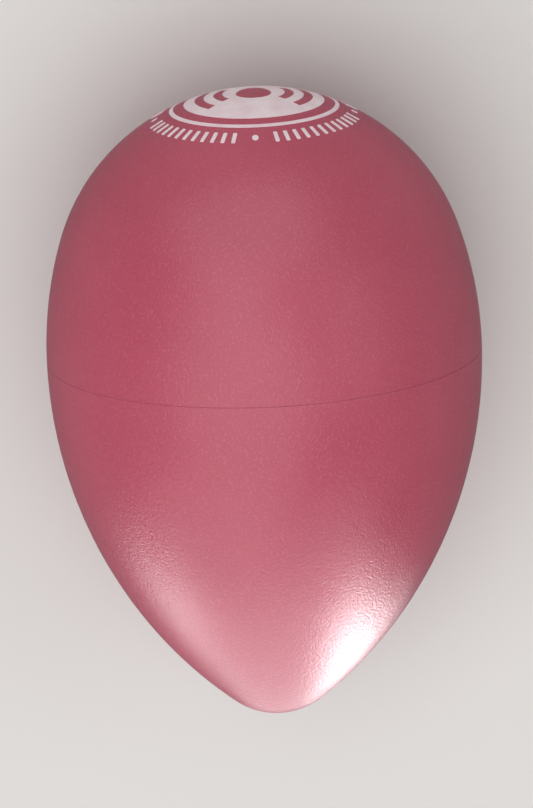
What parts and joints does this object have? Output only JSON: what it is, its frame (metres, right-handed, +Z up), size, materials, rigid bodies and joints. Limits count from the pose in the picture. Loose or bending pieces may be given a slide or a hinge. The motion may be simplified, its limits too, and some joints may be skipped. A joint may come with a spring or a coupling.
{
  "type": "egg shaker",
  "caption": "Egg-shaped hollow plastic hand shaker, with loose steel shot sealed inside that rattles when it is shaken.",
  "frame": {"origin": "on the egg's axis of revolution, half way between its two poles", "axes": "+X along the axis towards the blunt, printed end; +Z up with the egg lying on its side, as it rests on a table; the widest girth touches the table at z = -21.5 mm"},
  "size_m": [0.0634, 0.043, 0.043],
  "materials": {
    "shell_plastic": "satin injection-moulded rose red plastic with a fine speckled surface",
    "bond": "re-melted shell plastic at the joint",
    "print_ink": "white pad-printing ink, slightly thin in places",
    "shot_steel": "tumbled bright carbon steel shot"
  },
  "bodies": {
    "shell": {"shell_blunt_half": "shell_plastic", "shell_pointed_half": "shell_plastic", "seam_bond_ring": "bond", "end_print": "print_ink"},
    "shot_02": {"shot_02": "shot_steel"},
    "shot_01": {"shot_01": "shot_steel"},
    "shot_03": {"shot_03": "shot_steel"},
    "shot_06": {"shot_06": "shot_steel"},
    "shot_04": {"shot_04": "shot_steel"},
    "shot_05": {"shot_05": "shot_steel"},
    "shot_07": {"shot_07": "shot_steel"},
    "shot_10": {"shot_10": "shot_steel"},
    "shot_08": {"shot_08": "shot_steel"},
    "shot_09": {"shot_09": "shot_steel"},
    "shot_11": {"shot_11": "shot_steel"},
    "shot_12": {"shot_12": "shot_steel"},
    "shot_16": {"shot_16": "shot_steel"},
    "shot_13": {"shot_13": "shot_steel"},
    "shot_14": {"shot_14": "shot_steel"},
    "shot_15": {"shot_15": "shot_steel"},
    "shot_17": {"shot_17": "shot_steel"},
    "shot_18": {"shot_18": "shot_steel"},
    "shot_22": {"shot_22": "shot_steel"},
    "shot_19": {"shot_19": "shot_steel"},
    "shot_20": {"shot_20": "shot_steel"},
    "shot_21": {"shot_21": "shot_steel"},
    "shot_23": {"shot_23": "shot_steel"},
    "shot_24": {"shot_24": "shot_steel"},
    "shot_25": {"shot_25": "shot_steel"},
    "shot_29": {"shot_29": "shot_steel"},
    "shot_26": {"shot_26": "shot_steel"},
    "shot_27": {"shot_27": "shot_steel"},
    "shot_28": {"shot_28": "shot_steel"},
    "shot_30": {"shot_30": "shot_steel"},
    "shot_31": {"shot_31": "shot_steel"},
    "shot_34": {"shot_34": "shot_steel"},
    "shot_32": {"shot_32": "shot_steel"},
    "shot_33": {"shot_33": "shot_steel"},
    "shot_35": {"shot_35": "shot_steel"},
    "shot_36": {"shot_36": "shot_steel"},
    "shot_39": {"shot_39": "shot_steel"},
    "shot_37": {"shot_37": "shot_steel"},
    "shot_38": {"shot_38": "shot_steel"},
    "shot_40": {"shot_40": "shot_steel"},
    "shot_42": {"shot_42": "shot_steel"},
    "shot_41": {"shot_41": "shot_steel"},
    "shot_43": {"shot_43": "shot_steel"},
    "shot_45": {"shot_45": "shot_steel"},
    "shot_44": {"shot_44": "shot_steel"}
  },
  "joints": [
    {"name": "shot_02_swirl", "type": "hinge", "parent": "shell", "child": "shot_02", "pos_m": [0.02183, 0, 0], "axis": [1, 0, 0], "continuous": true},
    {"name": "shot_01_throw", "type": "slide", "parent": "shot_02", "child": "shot_01", "axis": [0, 0, 1], "range_m": [0, 0.02329]},
    {"name": "shot_03_throw", "type": "slide", "parent": "shot_02", "child": "shot_03", "axis": [0, 0, 1], "range_m": [0, 0.02329]},
    {"name": "shot_06_swirl", "type": "hinge", "parent": "shell", "child": "shot_06", "pos_m": [0.01773, 0, 0], "axis": [1, 0, 0], "continuous": true},
    {"name": "shot_04_throw", "type": "slide", "parent": "shot_06", "child": "shot_04", "axis": [0, 0, 1], "range_m": [0, 0.02727]},
    {"name": "shot_05_throw", "type": "slide", "parent": "shot_06", "child": "shot_05", "axis": [0, 0, 1], "range_m": [0, 0.02963]},
    {"name": "shot_07_throw", "type": "slide", "parent": "shot_06", "child": "shot_07", "axis": [0, 0, 1], "range_m": [0, 0.02727]},
    {"name": "shot_10_swirl", "type": "hinge", "parent": "shell", "child": "shot_10", "pos_m": [0.01362, 0, 0], "axis": [1, 0, 0], "continuous": true},
    {"name": "shot_08_throw", "type": "slide", "parent": "shot_10", "child": "shot_08", "axis": [0, 0, 1], "range_m": [0, 0.02812]},
    {"name": "shot_09_throw", "type": "slide", "parent": "shot_10", "child": "shot_09", "axis": [0, 0, 1], "range_m": [0, 0.0315]},
    {"name": "shot_11_throw", "type": "slide", "parent": "shot_10", "child": "shot_11", "axis": [0, 0, 1], "range_m": [0, 0.0315]},
    {"name": "shot_12_throw", "type": "slide", "parent": "shot_10", "child": "shot_12", "axis": [0, 0, 1], "range_m": [0, 0.02812]},
    {"name": "shot_16_swirl", "type": "hinge", "parent": "shell", "child": "shot_16", "pos_m": [0.00953, 0, 0], "axis": [1, 0, 0], "continuous": true},
    {"name": "shot_13_throw", "type": "slide", "parent": "shot_16", "child": "shot_13", "axis": [0, 0, 1], "range_m": [0, 0.02717]},
    {"name": "shot_14_throw", "type": "slide", "parent": "shot_16", "child": "shot_14", "axis": [0, 0, 1], "range_m": [0, 0.03173]},
    {"name": "shot_15_throw", "type": "slide", "parent": "shot_16", "child": "shot_15", "axis": [0, 0, 1], "range_m": [0, 0.03379]},
    {"name": "shot_17_throw", "type": "slide", "parent": "shot_16", "child": "shot_17", "axis": [0, 0, 1], "range_m": [0, 0.03173]},
    {"name": "shot_18_throw", "type": "slide", "parent": "shot_16", "child": "shot_18", "axis": [0, 0, 1], "range_m": [0, 0.02717]},
    {"name": "shot_22_swirl", "type": "hinge", "parent": "shell", "child": "shot_22", "pos_m": [0.00543, 0, 0], "axis": [1, 0, 0], "continuous": true},
    {"name": "shot_19_throw", "type": "slide", "parent": "shot_22", "child": "shot_19", "axis": [0, 0, 1], "range_m": [0, 0.02422]},
    {"name": "shot_20_throw", "type": "slide", "parent": "shot_22", "child": "shot_20", "axis": [0, 0, 1], "range_m": [0, 0.03037]},
    {"name": "shot_21_throw", "type": "slide", "parent": "shot_22", "child": "shot_21", "axis": [0, 0, 1], "range_m": [0, 0.03353]},
    {"name": "shot_23_throw", "type": "slide", "parent": "shot_22", "child": "shot_23", "axis": [0, 0, 1], "range_m": [0, 0.03353]},
    {"name": "shot_24_throw", "type": "slide", "parent": "shot_22", "child": "shot_24", "axis": [0, 0, 1], "range_m": [0, 0.03037]},
    {"name": "shot_25_throw", "type": "slide", "parent": "shot_22", "child": "shot_25", "axis": [0, 0, 1], "range_m": [0, 0.02422]},
    {"name": "shot_29_swirl", "type": "hinge", "parent": "shell", "child": "shot_29", "pos_m": [0.00133, 0, 0], "axis": [1, 0, 0], "continuous": true},
    {"name": "shot_26_throw", "type": "slide", "parent": "shot_29", "child": "shot_26", "axis": [0, 0, 1], "range_m": [0, 0.02727]},
    {"name": "shot_27_throw", "type": "slide", "parent": "shot_29", "child": "shot_27", "axis": [0, 0, 1], "range_m": [0, 0.03182]},
    {"name": "shot_28_throw", "type": "slide", "parent": "shot_29", "child": "shot_28", "axis": [0, 0, 1], "range_m": [0, 0.03387]},
    {"name": "shot_30_throw", "type": "slide", "parent": "shot_29", "child": "shot_30", "axis": [0, 0, 1], "range_m": [0, 0.03182]},
    {"name": "shot_31_throw", "type": "slide", "parent": "shot_29", "child": "shot_31", "axis": [0, 0, 1], "range_m": [0, 0.02727]},
    {"name": "shot_34_swirl", "type": "hinge", "parent": "shell", "child": "shot_34", "pos_m": [-0.00278, 0, 0], "axis": [1, 0, 0], "continuous": true},
    {"name": "shot_32_throw", "type": "slide", "parent": "shot_34", "child": "shot_32", "axis": [0, 0, 1], "range_m": [0, 0.0285]},
    {"name": "shot_33_throw", "type": "slide", "parent": "shot_34", "child": "shot_33", "axis": [0, 0, 1], "range_m": [0, 0.03185]},
    {"name": "shot_35_throw", "type": "slide", "parent": "shot_34", "child": "shot_35", "axis": [0, 0, 1], "range_m": [0, 0.03185]},
    {"name": "shot_36_throw", "type": "slide", "parent": "shot_34", "child": "shot_36", "axis": [0, 0, 1], "range_m": [0, 0.0285]},
    {"name": "shot_39_swirl", "type": "hinge", "parent": "shell", "child": "shot_39", "pos_m": [-0.00688, 0, 0], "axis": [1, 0, 0], "continuous": true},
    {"name": "shot_37_throw", "type": "slide", "parent": "shot_39", "child": "shot_37", "axis": [0, 0, 1], "range_m": [0, 0.02823]},
    {"name": "shot_38_throw", "type": "slide", "parent": "shot_39", "child": "shot_38", "axis": [0, 0, 1], "range_m": [0, 0.03052]},
    {"name": "shot_40_throw", "type": "slide", "parent": "shot_39", "child": "shot_40", "axis": [0, 0, 1], "range_m": [0, 0.02823]},
    {"name": "shot_42_swirl", "type": "hinge", "parent": "shell", "child": "shot_42", "pos_m": [-0.01098, 0, 0], "axis": [1, 0, 0], "continuous": true},
    {"name": "shot_41_throw", "type": "slide", "parent": "shot_42", "child": "shot_41", "axis": [0, 0, 1], "range_m": [0, 0.02654]},
    {"name": "shot_43_throw", "type": "slide", "parent": "shot_42", "child": "shot_43", "axis": [0, 0, 1], "range_m": [0, 0.02654]},
    {"name": "shot_45_swirl", "type": "hinge", "parent": "shell", "child": "shot_45", "pos_m": [-0.01507, 0, 0], "axis": [1, 0, 0], "continuous": true},
    {"name": "shot_44_throw", "type": "slide", "parent": "shot_45", "child": "shot_44", "axis": [0, 0, 1], "range_m": [0, 0.02335]}
  ]
}
